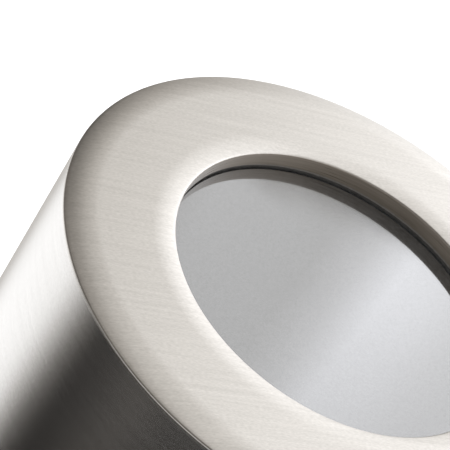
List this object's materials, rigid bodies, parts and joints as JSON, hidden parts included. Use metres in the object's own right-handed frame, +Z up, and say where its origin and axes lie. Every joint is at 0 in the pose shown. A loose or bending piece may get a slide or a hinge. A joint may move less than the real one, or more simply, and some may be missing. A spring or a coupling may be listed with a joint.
{
  "type": "bollard light",
  "caption": "Upright round steel bollard light with a recessed lens in its flat ring-shaped top, a lift-off head and a sliding base cover.",
  "frame": {"origin": "centre of the base plate's underside, on the ground", "axes": "+Z up along the tube's axis, towards the lens"},
  "size_m": [0.16, 0.16, 0.65],
  "materials": {
    "brushed_steel": "brushed satin",
    "turned_aluminium": "turned",
    "stainless_fastener": "plain",
    "black_rubber": "matt",
    "lens_glass": "glossy above, etched below",
    "plain_steel": "pressed",
    "zinc_steel": "zinc plated",
    "plain_aluminium": "milled",
    "black_aluminium": "black anodised",
    "thermal_pad": "matt",
    "board_white": "solder mask",
    "emitter": "phosphor",
    "white_plastic": "moulded",
    "reflector_aluminium": "bright",
    "driver_plastic": "fine texture",
    "terminal_plastic": "moulded",
    "brass": "plain",
    "tinned_copper": "tinned",
    "wire_red": "wire insulation",
    "wire_black": "wire insulation",
    "wire_brown": "wire insulation",
    "wire_blue": "wire insulation",
    "wire_green": "wire insulation",
    "base_steel": "mill finish"
  },
  "bodies": {
    "post": {"post_tube": "brushed_steel", "spigot": "turned_aluminium", "carrier_screws": "stainless_fastener", "heat_sink_screws": "stainless_fastener", "holder_screws": "stainless_fastener", "bracket_screws": "stainless_fastener", "driver_screws": "stainless_fastener", "terminal_fixing_screws": "stainless_fastener", "seam_gasket": "black_rubber", "spigot_o_ring": "black_rubber", "lead_grommet": "black_rubber", "cable_grommet": "black_rubber", "driver_bracket": "zinc_steel", "carrier_plate": "plain_aluminium", "heat_sink": "black_aluminium", "thermal_pad": "thermal_pad", "led_board": "board_white", "led_emitter": "emitter", "led_holder": "white_plastic", "reflector": "reflector_aluminium", "driver": "driver_plastic", "terminal_block": "terminal_plastic", "terminal_screws": "brass", "earth_screw": "brass", "earth_lug": "tinned_copper", "led_lead_red": "wire_red", "led_lead_black": "wire_black", "mains_lead_brown": "wire_brown", "mains_lead_blue": "wire_blue", "earth_lead": "wire_green", "base_plate": "base_steel", "base_weld": "base_steel"},
    "head": {"head_shell": "brushed_steel", "head_collar": "turned_aluminium", "set_screws": "stainless_fastener", "lens_gasket": "black_rubber", "glass_lens": "lens_glass", "lens_cushion": "black_rubber", "clamp_ring": "plain_steel", "weld_studs": "stainless_fastener", "clamp_washers": "stainless_fastener", "clamp_nuts": "stainless_fastener"},
    "cover": {"base_cover": "brushed_steel", "cover_grip_ring": "black_rubber"}
  },
  "joints": [
    {"name": "head_lift", "type": "slide", "parent": "post", "child": "head", "axis": [0, 0, 1], "range_m": [0, 0.1]},
    {"name": "cover_slide", "type": "slide", "parent": "post", "child": "cover", "axis": [0, 0, 1], "range_m": [0, 0.52]}
  ]
}
